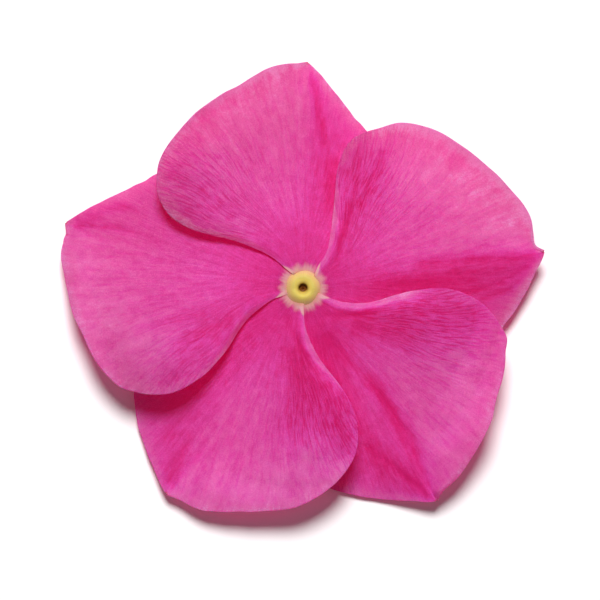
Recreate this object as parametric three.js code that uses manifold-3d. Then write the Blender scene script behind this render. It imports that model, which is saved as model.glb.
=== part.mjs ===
// One picked bloom of a Madagascar periwinkle, laid face up on a surface.
// Five broad petals overlap like a pinwheel: the rounded lobe of each lies over the next one anticlockwise.
// They spread from a short cut length of the bloom's tube, round a raised yellow ring with the narrow mouth.
// Inside the tube five anthers lean together over the stigma.
// Millimetres, +Z up. The origin is on the bloom's axis, at the level of the surface that it rests on.
import * as THREE from "three";
import { mergeVertices } from "three/addons/utils/BufferGeometryUtils.js";
import Module from "manifold-3d";

const wasm = await Module();
wasm.setup();

// Driving dimensions of the petals.
const PETAL_THICKNESS = 0.64;
const GAP = 0.3;
const CLAW_RADIUS = 1.95; // where a petal starts, beside the yellow ring
const CLAW_HEIGHT = 5.05; // the middle of its thickness there
const SHOULDER_RADIUS = 5; // a petal is about level out to here, and droops past it
const SHOULDER_RISE = 0.18;
const RIM_RADIUS = 22.5;
const DROOP_POWER = 1.15;
const TWIST_FAR = 2.3; // how high a petal passes over the next one, far out
const TWIST_SCALE = 5; // radius over which it gains that height
const TIP_REACH = 8; // a petal bends down to its pointed tip over this length
const TIP_BEND_POWER = 1.8;
const TIP_TOUCH = PETAL_THICKNESS / 2; // the middle of the thickness where a tip lies on the surface
const FOLD_DEPTH = 0.35; // the covered half falls away from the midrib by this much
const FOLD_WIDTH = 14; // degrees
const FOLD_FULL = 0.67; // share of the length at which it is fully there
const LIFT_FULL = 0.4;
const ROLL_HEIGHT = 0.3; // soft ridge just inside the lobe's margin, along its inner part
const ROLL_PLACE = 0.75; // between the midrib, 0, and the margin, 1
const ROLL_HALF_WIDTH = 0.25;
const ROLL_LENGTH = 0.55;
const WAVE_HEIGHT = 0.28; // waves of the lobe's outer margin
const WAVES = 3;
const WAVE_FULL = 0.5;

// Driving dimensions of the middle.
const RING_RADIUS = CLAW_RADIUS - GAP;
const RING_CREST_RADIUS = 1.08;
const RING_CREST_HEIGHT = 5.95;
const MOUTH_RADIUS = 0.46;
const TUBE_TOP = 4.2;
const TUBE_FLARE_RADIUS = 2.4;
const TUBE_SWELL_RADIUS = 1.8; // the tube is swollen where it holds the anthers
const TUBE_WALL = 0.42;
const TUBE_CUT_RADIUS = 1.2;
const TUBE_CUT_BORE = 0.75;
const ANTHER_COUNT = 5;
const ANTHER_LENGTH = 2;
const ANTHER_WIDTH = 0.5;
const ANTHER_DEPTH = 0.36;
const ANTHER_RADIUS = 0.76; // from the axis to an anther's middle
const ANTHER_LEAN = 10; // degrees
const FILAMENT_RING_RADIUS = 0.93;
const FILAMENT_RING_HEIGHT = 1.35;
const FILAMENT_RING_THICKNESS = 0.26;
const STYLE_FOOT = 0.15;
const STYLE_RADIUS = 0.2;
const STIGMA_RADIUS = 0.34;
const STIGMA_TOP = 2.75;

// Each petal's outline is in its own frame: along the midrib from the bloom's axis, then across it.
// lobe is the margin of the rounded half, which covers the next petal, from the claw out to the tip.
// covered is the margin of the narrow half, which lies under the petal before, from the claw out.
const PETALS = [
  {
    name: "petal_top",
    direction: 88.6,
    tip: 22.5,
    tipLift: 0,
    droop: 4,
    lobeLift: 0,
    wavePhase: 0.1,
    lobe: [
      [1.65, 1.15], [3.1, 3.5], [4.1, 6.8], [5.4, 11.3], [7.2, 13.8], [9.8, 14.9],
      [13.1, 14.4], [16.8, 11.6], [20.3, 6.4], [22.2, 3], [22.3, 0.9],
    ],
    covered: [[1.82, -0.8], [3.2, -2], [6, -5.2], [10, -8.3], [13.6, -7.7], [17.2, -4.7], [21.2, -1.3]],
  },
  {
    name: "petal_left",
    direction: 164.6,
    tip: 24.7,
    tipLift: 0,
    droop: 4.3,
    lobeLift: 0.9,
    wavePhase: 0.35,
    lobe: [
      [1.7, 1.1], [3.1, 2.4], [4.8, 4.8], [5.9, 8.4], [7.5, 11.4], [10.2, 13.8],
      [14, 14.4], [18.3, 12.5], [21.8, 8.5], [24, 3.9], [24.2, 1.1],
    ],
    covered: [[1.82, -0.8], [3.2, -2], [6, -5.2], [10.5, -8.9], [15, -8.5], [18.7, -5.7], [23.3, -1.5]],
  },
  {
    name: "petal_lower_left",
    direction: 236.4,
    tip: 24.8,
    tipLift: 0,
    droop: 4.1,
    lobeLift: 0.3,
    wavePhase: 0.6,
    lobe: [
      [1.7, 1.1], [3.4, 2.6], [5.1, 5.4], [6.4, 9.2], [8, 11.7], [10.8, 13.6],
      [14.2, 13.7], [17.7, 12.1], [21, 8.6], [23.9, 3.9], [24.3, 1.2],
    ],
    covered: [[1.82, -0.8], [3.2, -2], [6.2, -5.2], [11, -9], [16, -9.4], [20.3, -6.3], [23.9, -1.6]],
  },
  {
    name: "petal_lower_right",
    direction: 302.1,
    tip: 25.2,
    tipLift: 0.9,
    droop: 4,
    lobeLift: 0.1,
    wavePhase: 0.85,
    lobe: [
      [1.7, 1.1], [3.4, 2.6], [4.9, 5], [6.1, 9], [7.9, 12.3], [11, 14.3],
      [14.6, 14.6], [18.1, 12.2], [21.5, 8.5], [23.8, 3.9], [24.5, 1],
    ],
    covered: [[1.82, -0.8], [3.2, -2], [6.2, -5.2], [11, -9], [15.8, -9.6], [20.4, -6.7], [24.4, -1.4]],
  },
  {
    name: "petal_right",
    direction: 8.5,
    tip: 24.4,
    tipLift: 0,
    droop: 4.2,
    lobeLift: 0,
    wavePhase: 0.2,
    lobe: [
      [1.6, 1.25], [3, 3.4], [4.3, 7.6], [5.3, 11.5], [7.1, 13.8], [10, 14.8],
      [13.2, 14.6], [17.9, 11.5], [22, 6.7], [23.6, 3], [23.5, 1],
    ],
    covered: [[1.82, -0.8], [3.2, -2], [6, -5.2], [10.5, -9], [15.6, -9.4], [20.4, -6], [23.9, -1.2]],
  },
];

// Degrees from each petal to the next one, which it covers, and from the one before, which covers it.
PETALS.forEach((petal, i) => {
  const next = PETALS[(i + 1) % PETALS.length];
  petal.stepToNext = (next.direction - petal.direction + 360) % 360;
  next.stepFromLast = petal.stepToNext;
});

// Cells of a petal: from the claw to the tip, and from the midrib to each margin.
const ROWS = 20;
const LOBE_CELLS = 9;
const COVERED_CELLS = 6;

const finish = (color, roughness) => new THREE.MeshStandardMaterial({ color, roughness, metalness: 0 });
const petalFinish = finish(0xe355a2, 0.55);
const ringFinish = finish(0xe3cc62, 0.5);
const tubeFinish = finish(0xd9c79a, 0.55);
const antherFinish = finish(0xc9a04a, 0.6);
const styleFinish = finish(0xb9c48a, 0.5);

function smooth(x) {
  const t = Math.min(1, Math.max(0, x));
  return t * t * (3 - 2 * t);
}

// The arch that all petals share: level near the mouth, then drooping to the rim.
function archHeight(petal, radius) {
  const past = Math.max(0, radius - SHOULDER_RADIUS) / (RIM_RADIUS - SHOULDER_RADIUS);
  return CLAW_HEIGHT + SHOULDER_RISE * smooth(radius / SHOULDER_RADIUS) - petal.droop * past ** DROOP_POWER;
}

// The twist that carries the lobe over the next petal, and the covered half under the one before.
function twistHeight(petal, radius, turn) {
  const step = turn > 0 ? petal.stepToNext : petal.stepFromLast;
  return (TWIST_FAR * (1 - Math.exp(-radius / TWIST_SCALE)) * turn) / step;
}

// What shapes the lobe itself: its own lift, the soft ridge inside its margin, and its waved edge.
function lobeHeight(petal, out, side) {
  const lift = petal.lobeLift * smooth(side) * smooth(out / LIFT_FULL);
  const across = smooth(1 - Math.abs(side - ROLL_PLACE) / ROLL_HALF_WIDTH);
  const roll = ROLL_HEIGHT * across * Math.sin(Math.PI * Math.min(1, out / ROLL_LENGTH));
  const wave = Math.sin(2 * Math.PI * (WAVES * out + petal.wavePhase));
  return lift + roll + WAVE_HEIGHT * side ** 3 * smooth(out / WAVE_FULL) * wave;
}

// Height of a petal's middle surface before its tip is bent. out runs from 0 at the claw to 1 at the tip.
// side runs from 0 at the midrib to 1 at the lobe's margin, or to -1 at the covered margin.
function openHeight(petal, along, across, out, side) {
  const radius = Math.hypot(along, across);
  const turn = THREE.MathUtils.radToDeg(Math.atan2(across, along));
  const fold = FOLD_DEPTH * smooth(out / FOLD_FULL) * smooth(-turn / FOLD_WIDTH);
  const body = archHeight(petal, radius) + twistHeight(petal, radius, turn) - fold;
  return body + lobeHeight(petal, out, Math.max(0, side));
}

// The same, with the end bent down so that the tip touches the surface, or ends just over it.
function petalHeight(petal, along, across, out, side) {
  const tipDrop = openHeight(petal, petal.tip, 0, 1, 0) - TIP_TOUCH - petal.tipLift;
  const near = Math.max(0, 1 - Math.hypot(along - petal.tip, across) / TIP_REACH);
  return openHeight(petal, along, across, out, side) - tipDrop * near ** TIP_BEND_POWER;
}

function marginCurve(points, tip) {
  const places = [...points, [tip, 0]].map(([along, across]) => new THREE.Vector2(along, across));
  return new THREE.SplineCurve(places);
}

// A thin closed blade from rows of points on its middle surface. Past the last row it ends in one point.
// Both faces are split into triangles alike, so they stay apart wherever the blade waves.
function bladeGeometry(rows, tip, thickness) {
  const positions = [];
  const put = (point, lift) => {
    positions.push(point.x, point.y, point.z + lift);
    return positions.length / 3 - 1;
  };
  const face = (lift) => {
    const grid = rows.map((row) => row.map((point) => put(point, lift)));
    const end = put(tip, lift);
    return [...grid, rows[0].map(() => end)];
  };
  const top = face(thickness / 2);
  const bottom = face(-thickness / 2);
  const index = [];
  const triangle = (a, b, c) => {
    if (a !== b && b !== c && c !== a) index.push(a, b, c);
  };
  const wall = (a, b, lowerA, lowerB) => {
    triangle(a, lowerA, lowerB);
    triangle(a, lowerB, b);
  };
  const last = rows[0].length - 1;
  for (let i = 0; i < rows.length; i++) {
    for (let k = 0; k < last; k++) {
      triangle(top[i][k], top[i + 1][k], top[i + 1][k + 1]);
      triangle(top[i][k], top[i + 1][k + 1], top[i][k + 1]);
      triangle(bottom[i][k], bottom[i + 1][k + 1], bottom[i + 1][k]);
      triangle(bottom[i][k], bottom[i][k + 1], bottom[i + 1][k + 1]);
    }
    wall(top[i][0], top[i + 1][0], bottom[i][0], bottom[i + 1][0]);
    wall(top[i + 1][last], top[i][last], bottom[i + 1][last], bottom[i][last]);
  }
  for (let k = 0; k < last; k++) {
    wall(top[0][k + 1], top[0][k], bottom[0][k + 1], bottom[0][k]);
  }
  const geometry = new THREE.BufferGeometry();
  geometry.setAttribute("position", new THREE.Float32BufferAttribute(positions, 3));
  geometry.setIndex(index);
  geometry.computeVertexNormals();
  return geometry;
}

function petalMesh(petal) {
  const lobe = marginCurve(petal.lobe, petal.tip);
  const covered = marginCurve(petal.covered, petal.tip);
  const rows = [];
  for (let i = 0; i < ROWS; i++) {
    const out = i / ROWS;
    const midrib = new THREE.Vector2(THREE.MathUtils.lerp(CLAW_RADIUS, petal.tip, out), 0);
    const row = [];
    for (let k = -COVERED_CELLS; k <= LOBE_CELLS; k++) {
      const side = k < 0 ? k / COVERED_CELLS : k / LOBE_CELLS;
      const edge = (k < 0 ? covered : lobe).getPointAt(out);
      const { x, y } = midrib.clone().lerp(edge, Math.abs(side));
      row.push(new THREE.Vector3(x, y, petalHeight(petal, x, y, out, side)));
    }
    rows.push(row);
  }
  const tip = new THREE.Vector3(petal.tip, 0, TIP_TOUCH + petal.tipLift);
  const mesh = new THREE.Mesh(bladeGeometry(rows, tip, PETAL_THICKNESS), petalFinish);
  mesh.name = petal.name;
  mesh.rotation.z = THREE.MathUtils.degToRad(petal.direction);
  return mesh;
}

// A solid of revolution about +Z from a closed profile of [radius, height] points. They run anticlockwise
// where the radius grows to the right and the height grows upwards.
function turned(name, profile, material, sides) {
  const points = [...profile, profile[0]].map(([radius, height]) => new THREE.Vector2(radius, height));
  const geometry = new THREE.LatheGeometry(points, sides);
  geometry.rotateX(Math.PI / 2);
  const mesh = new THREE.Mesh(geometry, material);
  mesh.name = name;
  return mesh;
}

// The raised ring stands on the tube's flared top, inside the petals' claws, and funnels into the mouth.
function eyeRing() {
  const bottom = TUBE_TOP + GAP;
  const crest = RING_CREST_HEIGHT;
  const profile = [
    [MOUTH_RADIUS, bottom],
    [RING_RADIUS - 0.15, bottom],
    [RING_RADIUS, bottom + 0.15],
    [RING_RADIUS, crest - 0.45],
    [RING_RADIUS - 0.14, crest - 0.2],
    [RING_CREST_RADIUS + 0.2, crest - 0.04],
    [RING_CREST_RADIUS, crest],
    [RING_CREST_RADIUS - 0.25, crest - 0.09],
    [MOUTH_RADIUS + 0.12, crest - 0.34],
    [MOUTH_RADIUS, crest - 0.6],
  ];
  return turned("eye_ring", profile, ringFinish, 36);
}

// The tube is cut flat at its foot, swells round the anthers, narrows and then flares under the petals.
function corollaTube() {
  const bore = TUBE_SWELL_RADIUS - TUBE_WALL;
  const throat = bore - 0.28;
  const profile = [
    [TUBE_CUT_BORE, 0],
    [TUBE_CUT_RADIUS, 0],
    [TUBE_CUT_RADIUS + 0.05, 0.5],
    [TUBE_SWELL_RADIUS - 0.15, 1.2],
    [TUBE_SWELL_RADIUS, 1.9],
    [TUBE_SWELL_RADIUS - 0.02, 2.6],
    [TUBE_SWELL_RADIUS - 0.18, TUBE_TOP - 1.1],
    [TUBE_SWELL_RADIUS - 0.16, TUBE_TOP - 0.8],
    [TUBE_FLARE_RADIUS - 0.4, TUBE_TOP - 0.5],
    [TUBE_FLARE_RADIUS, TUBE_TOP - 0.3],
    [TUBE_FLARE_RADIUS, TUBE_TOP],
    [throat, TUBE_TOP],
    [throat, TUBE_TOP - 0.6],
    [bore - 0.06, 3],
    [bore, 1.7],
    [bore - 0.18, 1],
    [TUBE_CUT_BORE + 0.02, 0.5],
  ];
  return turned("corolla_tube", profile, tubeFinish, 28);
}

function styleAndStigma() {
  const profile = [
    [0, STYLE_FOOT],
    [STYLE_RADIUS, STYLE_FOOT],
    [STYLE_RADIUS, STIGMA_TOP - 1.05],
    [STIGMA_RADIUS - 0.06, STIGMA_TOP - 0.9],
    [STIGMA_RADIUS, STIGMA_TOP - 0.65],
    [STIGMA_RADIUS, STIGMA_TOP - 0.35],
    [STIGMA_RADIUS - 0.1, STIGMA_TOP - 0.13],
    [0, STIGMA_TOP],
  ];
  return turned("style_and_stigma", profile, styleFinish, 16);
}

// A closed mesh as a solid that can be joined to another.
function solidOf(geometry) {
  geometry.deleteAttribute("normal");
  geometry.deleteAttribute("uv");
  const merged = mergeVertices(geometry);
  const vertProperties = merged.getAttribute("position").array;
  const triVerts = new Uint32Array(merged.index.array);
  return new wasm.Manifold(new wasm.Mesh({ numProp: 3, vertProperties, triVerts }));
}

function geometryOf(solid) {
  const { vertProperties, triVerts } = solid.getMesh();
  const geometry = new THREE.BufferGeometry();
  geometry.setAttribute("position", new THREE.BufferAttribute(vertProperties, 3));
  geometry.setIndex(new THREE.BufferAttribute(triVerts, 1));
  geometry.computeVertexNormals();
  return geometry;
}

// Slim anthers lean together over the stigma, joined by the ring of their short stalks.
function stamens() {
  const ring = new THREE.TorusGeometry(FILAMENT_RING_RADIUS, FILAMENT_RING_THICKNESS / 2, 6, 24);
  ring.translate(0, 0, FILAMENT_RING_HEIGHT);
  let solid = solidOf(ring);
  for (let i = 0; i < ANTHER_COUNT; i++) {
    const anther = new THREE.SphereGeometry(0.5, 8, 8);
    anther.scale(ANTHER_DEPTH, ANTHER_WIDTH, ANTHER_LENGTH);
    anther.rotateY(THREE.MathUtils.degToRad(-ANTHER_LEAN));
    anther.translate(ANTHER_RADIUS, 0, FILAMENT_RING_HEIGHT + 0.42 * ANTHER_LENGTH);
    anther.rotateZ((2 * Math.PI * (i + 0.5)) / ANTHER_COUNT);
    solid = solid.add(solidOf(anther));
  }
  const mesh = new THREE.Mesh(geometryOf(solid), antherFinish);
  mesh.name = "stamens";
  return mesh;
}

const bloom = new THREE.Group();
bloom.add(...PETALS.map(petalMesh), eyeRing(), corollaTube(), stamens(), styleAndStigma());

export default bloom;
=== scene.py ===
"""Looks of one picked Madagascar periwinkle bloom, lying face up on a pale floor.

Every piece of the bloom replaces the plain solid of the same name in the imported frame. Shapes are worked
out in millimetres, in the frame's own axes, and turned to metres where a mesh is made.
"""

import logging
import math
from dataclasses import dataclass
from enum import Enum
from typing import ClassVar

import bmesh
import bpy
import numpy as np
from bpy.types import ColorRamp, Material, Mesh, Node, NodeSocket, NodeTree, Object
from mathutils import Matrix, Vector


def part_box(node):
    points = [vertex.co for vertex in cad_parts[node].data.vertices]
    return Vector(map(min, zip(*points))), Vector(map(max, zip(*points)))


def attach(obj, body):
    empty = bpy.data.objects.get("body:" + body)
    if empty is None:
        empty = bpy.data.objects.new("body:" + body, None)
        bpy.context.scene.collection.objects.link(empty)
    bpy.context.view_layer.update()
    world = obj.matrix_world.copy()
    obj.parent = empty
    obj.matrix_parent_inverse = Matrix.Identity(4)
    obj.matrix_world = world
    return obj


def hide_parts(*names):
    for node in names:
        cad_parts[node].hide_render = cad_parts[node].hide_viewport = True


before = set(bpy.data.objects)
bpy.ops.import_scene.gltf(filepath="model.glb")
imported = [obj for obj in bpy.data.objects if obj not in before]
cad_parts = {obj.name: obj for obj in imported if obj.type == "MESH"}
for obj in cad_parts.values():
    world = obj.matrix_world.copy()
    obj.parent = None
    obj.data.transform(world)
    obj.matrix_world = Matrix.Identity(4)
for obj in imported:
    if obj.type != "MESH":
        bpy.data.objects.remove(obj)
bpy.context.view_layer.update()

LOG = logging.getLogger("periwinkle")
MM = 0.001
BODY = "root"

Number = float | np.ndarray
Span = tuple[float, float]
Points = tuple[tuple[float, float], ...]


class Face(Enum):
    """The two skins of a petal."""

    UPPER = 0
    UNDER = 1


def linear(hex_color: str) -> tuple[float, float, float, float]:
    """Turns an sRGB hex colour to linear light.

    Args:
        hex_color: Six hex digits, such as "e355a2".

    Returns:
        Linear red, green, blue and an alpha of one.
    """
    channels = [int(hex_color[i : i + 2], 16) / 255 for i in (0, 2, 4)]
    light = [c / 12.92 if c <= 0.04045 else ((c + 0.055) / 1.055) ** 2.4 for c in channels]
    return (light[0], light[1], light[2], 1.0)


def add_node(tree: NodeTree, kind: str, settings: dict | None = None, links: dict | None = None) -> Node:
    """Adds one shader node.

    Args:
        tree: The tree that the node goes in.
        kind: The node's type name.
        settings: Values for the node's own properties.
        links: For each input, by name or number, the socket that feeds it or its plain value.

    Returns:
        The new node.
    """
    node = tree.nodes.new(kind)
    for name, value in (settings or {}).items():
        setattr(node, name, value)
    for key, value in (links or {}).items():
        if isinstance(value, NodeSocket):
            tree.links.new(value, node.inputs[key])
        else:
            node.inputs[key].default_value = value
    return node


def smooth(x: Number) -> Number:
    """Eases from 0 to 1 as x goes from 0 to 1."""
    t = np.clip(x, 0.0, 1.0)
    return t * t * (3 - 2 * t)


def rise(x: Number, span: Span) -> Number:
    """Eases from 0 to 1 as x goes from the span's first value to its second, which may be the lower one."""
    return smooth((x - span[0]) / (span[1] - span[0]))


def eased(x: np.ndarray, points: Points) -> np.ndarray:
    """Reads a curve that eases from each point to the next.

    Args:
        x: Where to read it.
        points: Pairs of place and value, in rising order of place.

    Returns:
        The values, which stay level past both ends.
    """
    places, values = (np.array(column, dtype=float) for column in zip(*points))
    i = np.clip(np.searchsorted(places, x) - 1, 0, len(places) - 2)
    t = (x - places[i]) / (places[i + 1] - places[i])
    return values[i] + (values[i + 1] - values[i]) * smooth(t)


def ripple(x: np.ndarray, y: np.ndarray, seed: int) -> np.ndarray:
    """Smooth seeded noise on a unit lattice.

    Args:
        x: First coordinate, in lattice steps.
        y: Second coordinate, in lattice steps.
        seed: Picks the lattice's values.

    Returns:
        Values from -1 to 1, of the shape of x.
    """
    size = 64
    table = np.random.default_rng(seed).uniform(-1, 1, (size, size))
    column = np.floor(x).astype(int)
    row = np.floor(y).astype(int)
    across = smooth(x - column)
    along = smooth(y - row)
    near = table[row % size, column % size] * (1 - across) + table[row % size, (column + 1) % size] * across
    far_row = (row + 1) % size
    far = table[far_row, column % size] * (1 - across) + table[far_row, (column + 1) % size] * across
    return near * (1 - along) + far * along


@dataclass(frozen=True)
class Crease:
    """A soft fold line on a petal, in the petal's own frame, in millimetres.

    A positive depth is a valley and a negative one is a ridge. The painted shade darkens the skin along the
    crease, on the pigment's scale, for the shade that lies in the fold.
    """

    path: Points
    depth: float
    width: float
    # Painted shade along the crease, on the pigment's scale.
    fold_shade: float


@dataclass(frozen=True)
class PetalShape:
    """What tells one petal from the others. Lengths are in millimetres, and angles in degrees.

    The lobe and covered points are the two margins, as along and across the midrib. The settle points say how
    far the lobe's margin sinks towards the next petal, as pairs of radius and drop. Tones, palings and the
    valley's painted shade are on the pigment's own scale. The other painted shades, on the outer part, the
    rim and the covered half, are shares of the skin's colour taken away.
    """

    node: str
    direction: float
    tip: float
    lobe: Points
    covered: Points
    droop: float
    settle: Points
    seed: int
    tip_lift: float = 0.0
    lobe_lift: float = 0.0
    fold: float = 0.35
    wave_phase: float = 0.0
    band: float = 1.0
    band_width: float = 1.3
    band_end: float = 0.34
    texture: float = 0.6
    crown: float = 0.25
    crown_place: float = 0.34
    tone: float = 0.0
    heart: float = 0.06
    # Painted shade in the hollow beside the band, on the pigment's scale.
    valley_shade: float = 0.2
    paling: float = 0.07
    covered_tone: float = 0.24
    covered_start: float = 0.45
    # Painted shade: these three take a share of the skin's colour away, on the outer part, on the lobe's rim
    # and on the covered half.
    outer_painted_shade: float = 0.0
    covered_painted_shade: float = 0.0
    rim_painted_shade: float = 0.15
    rim_paling: float = 0.18
    creases: tuple[Crease, ...] = ()


PETALS = (
    PetalShape(
        node="petal_top",
        direction=88.6,
        tip=22.5,
        lobe=(
            (1.26, 1.04), (1.78, 1.7), (3.2, 3.5), (4.5, 6.8), (5.6, 11.3), (7.3, 13.85), (9.8, 14.85),
            (13.15, 14.25), (16.7, 11.5), (18.8, 8.95), (20.3, 6.5), (21.75, 4.2), (22.25, 2.6),
            (22.45, 1.15),
        ),
        covered=(
            (1.33, -0.96), (1.9, -1.4), (3.2, -2.3), (6.0, -5.2), (10.0, -8.3), (13.6, -7.8), (17.15, -4.72),
            (21.2, -1.35),
        ),
        droop=2.2,
        settle=(
            (2.5, 0), (4, 0.2), (5.8, 0.65), (8, 1.05), (11, 1.3), (13.7, 1.7), (15.6, 1.8), (19, 1.2),
            (22, 0.4),
        ),
        seed=11,
        tip_lift=2.2,
        lobe_lift=0.9,
        wave_phase=0.1,
        band=0.5,
        texture=0.8,
        crown=0.2,
        crown_place=0.42,
        tone=-0.06,
        valley_shade=0.0,
        paling=0.23,
        outer_painted_shade=0.28,
        rim_painted_shade=0.2,
        rim_paling=0.25,
        creases=(
            Crease(((21.8, -0.2), (19.3, -0.8), (15.6, -1.6), (12.8, -2.0)), 0.12, 0.5, 0.35),
            Crease(((21.9, 0.8), (18.7, 0.8)), 0.04, 0.3, 0.12),
            Crease(((13.8, -2.5), (10.8, -2.7), (6.3, -2.6)), 0.0, 0.9, 0.25),
        ),
    ),
    PetalShape(
        node="petal_left",
        direction=164.6,
        tip=24.7,
        lobe=(
            (1.28, 1.02), (1.85, 1.42), (3.1, 2.4), (4.8, 5.0), (5.9, 8.4), (7.5, 11.4), (10.2, 13.8),
            (14.05, 14.5), (16.2, 13.8), (18.2, 12.35), (19.85, 10.4), (21.55, 8.35), (23.95, 3.9),
            (24.4, 2.1), (24.3, 1.1),
        ),
        covered=(
            (1.33, -0.96), (1.9, -1.4), (3.2, -2.3), (6.0, -5.2), (10.5, -8.9), (15.0, -8.65), (18.65, -5.65),
            (21.2, -3.45), (23.3, -1.55),
        ),
        droop=3.9,
        settle=(
            (4, 0.1), (7, 1.25), (9, 1.6), (12, 1.25), (15.5, 0.55), (18, 0.35), (20.3, 0.6), (23, -0.1),
            (24.7, 0),
        ),
        seed=23,
        tip_lift=0.1,
        lobe_lift=2.3,
        wave_phase=0.35,
        band=0.7,
        band_end=0.24,
        texture=0.6,
        crown=0.15,
        crown_place=0.31,
        valley_shade=0.0,
        paling=0.13,
        covered_tone=0.07,
        outer_painted_shade=0.17,
        covered_painted_shade=0.13,
        rim_painted_shade=0.1,
        creases=(
            Crease(((24.3, 0.0), (21.6, -2.0), (18.0, -3.7)), 0.1, 0.55, 0.2),
            Crease(((24.3, 0.1), (20.7, -0.6), (16.7, -0.9)), 0.08, 0.4, 0.22),
            Crease(((24.2, 0.4), (20.0, 0.9)), 0.05, 0.35, 0.12),
            Crease(((5.5, 4.6), (9.0, 7.4), (11.5, 9.8)), 0.04, 0.8, 0.2),
            Crease(((8.0, 4.7), (12.0, 6.9), (15.5, 8.6)), 0.04, 0.5, 0.18),
        ),
    ),
    PetalShape(
        node="petal_lower_left",
        direction=236.4,
        tip=24.8,
        lobe=(
            (1.28, 1.02), (2.0, 1.42), (3.5, 2.7), (5.1, 5.4), (6.4, 9.2), (8.0, 11.7), (10.8, 13.5),
            (14.1, 13.55), (17.7, 12.2), (19.5, 10.65), (21.05, 8.65), (23.3, 5.4), (24.2, 3.75),
            (24.5, 1.55),
        ),
        covered=(
            (1.33, -0.96), (1.9, -1.4), (3.2, -2.3), (6.2, -5.2), (11.0, -9.0), (16.0, -9.4), (20.4, -6.4),
            (23.9, -1.6),
        ),
        droop=3.7,
        settle=(
            (4, 0), (6, 0.6), (8, 1.1), (13, 1.0), (17, 0.75), (19.5, 0.4), (22.5, -0.15), (24.8, -0.2),
        ),
        seed=37,
        tip_lift=1.5,
        lobe_lift=1.7,
        wave_phase=0.6,
        band=0.9,
        band_width=1.2,
        band_end=0.17,
        texture=0.75,
        crown=0.4,
        tone=-0.02,
        heart=0.12,
        paling=0.04,
        covered_tone=0.22,
        covered_start=0.25,
        covered_painted_shade=0.14,
        rim_painted_shade=0.06,
        creases=(
            Crease(((24.4, -0.3), (21.7, -0.6), (18.2, -1.1)), 0.09, 0.45, 0.18),
            Crease(((24.4, 0.2), (20.8, 0.2), (17.1, 1.0)), 0.08, 0.4, 0.18),
            Crease(((4.5, 2.2), (9.0, 5.2), (12.0, 6.7), (16.0, 9.6)), 0.03, 1.6, 0.22),
        ),
    ),
    PetalShape(
        node="petal_lower_right",
        direction=302.1,
        tip=25.2,
        lobe=(
            (1.28, 1.02), (2.0, 1.5), (3.5, 2.75), (4.9, 5.0), (6.1, 9.0), (7.9, 12.3), (11.0, 14.3),
            (14.55, 14.55), (16.3, 13.5), (18.1, 12.1), (19.7, 10.25), (21.45, 8.5), (23.9, 3.95),
            (24.6, 1.05),
        ),
        covered=(
            (1.33, -0.96), (1.9, -1.4), (3.2, -2.3), (6.2, -5.2), (11.0, -9.0), (15.9, -9.75), (20.4, -6.7),
            (24.4, -1.4),
        ),
        droop=3.6,
        settle=(
            (4, 0), (6, 0.6), (8, 1.1), (13, 1.1), (17, 0.8), (19.7, 0.0), (22.3, -1.5), (24.3, -1.7),
            (25.2, 0),
        ),
        seed=41,
        tip_lift=2.3,
        fold=0.7,
        lobe_lift=1.7,
        wave_phase=0.85,
        band=0.9,
        band_width=1.4,
        band_end=0.2,
        texture=0.75,
        crown=0.38,
        crown_place=0.38,
        tone=-0.06,
        heart=0.2,
        paling=0.04,
        covered_tone=0.37,
        covered_start=0.15,
        covered_painted_shade=0.1,
        rim_painted_shade=0.23,
        creases=(
            Crease(((4.0, -0.6), (7.2, -0.3), (12.7, 0.8), (17.9, 1.0), (25.4, 0.0)), 0.17, 0.65, 0.25),
            Crease(((10.0, 1.2), (16.0, 0.7), (21.0, 0.1), (27.0, -0.1)), 0.0, 1.1, 0.35),
            Crease(((5.0, 2.2), (9.0, 5.4), (12.5, 7.0)), 0.03, 1.6, 0.22),
            Crease(((16.0, -3.2), (24.9, -0.2)), 0.1, 0.5, 0.2),
        ),
    ),
    PetalShape(
        node="petal_right",
        direction=8.5,
        tip=24.4,
        lobe=(
            (1.26, 1.04), (1.8, 1.9), (3.1, 3.6), (4.3, 7.6), (5.3, 11.5), (7.0, 13.85), (10.0, 14.62),
            (12.45, 14.8), (15.2, 13.7), (17.8, 11.6), (20.05, 9.25), (21.95, 6.7), (23.12, 4.85),
            (23.6, 3.0), (23.45, 0.9),
        ),
        covered=(
            (1.33, -0.96), (1.9, -1.4), (3.2, -2.3), (6.0, -5.2), (10.5, -9.0), (15.6, -9.4), (20.3, -5.8),
            (23.8, -1.1),
        ),
        droop=2.5,
        settle=((4, 0), (6, 0.6), (8, 1.2), (14, 1.4), (19, 1.3), (22.5, 0.7), (24.4, 0)),
        seed=53,
        tip_lift=3.0,
        fold=0.3,
        lobe_lift=0.9,
        wave_phase=0.2,
        band=0.9,
        band_width=1.5,
        band_end=0.17,
        texture=0.75,
        crown_place=0.31,
        tone=-0.03,
        paling=0.26,
        covered_tone=0.4,
        outer_painted_shade=0.1,
        covered_painted_shade=0.24,
        rim_painted_shade=0.29,
        rim_paling=0.38,
        creases=(
            Crease(((10.9, 0.6), (17.0, 0.2), (20.9, -0.1), (25.3, -0.2)), 0.12, 0.6, 0.3),
            Crease(((16.0, 1.0), (20.0, 0.9), (26.0, 0.2)), 0.0, 1.1, 0.2),
            Crease(((6.0, -0.6), (12.0, -1.0), (18.0, -1.2), (24.5, -0.4)), 0.03, 1.0, 0.16),
            Crease(((15.0, -3.0), (19.5, -2.4), (24.4, -0.6)), 0.05, 0.35, 0.2),
            Crease(((17.0, -3.9), (20.5, -3.2), (23.4, -1.4)), 0.05, 0.3, 0.16),
            Crease(((7.6, 12.3), (6.3, 8.0), (3.6, 2.4)), 0.05, 0.35, 0.2),
            Crease(((10.2, 12.9), (7.8, 8.7), (5.7, 5.0)), 0.08, 0.4, 0.2),
        ),
    ),
)


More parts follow.
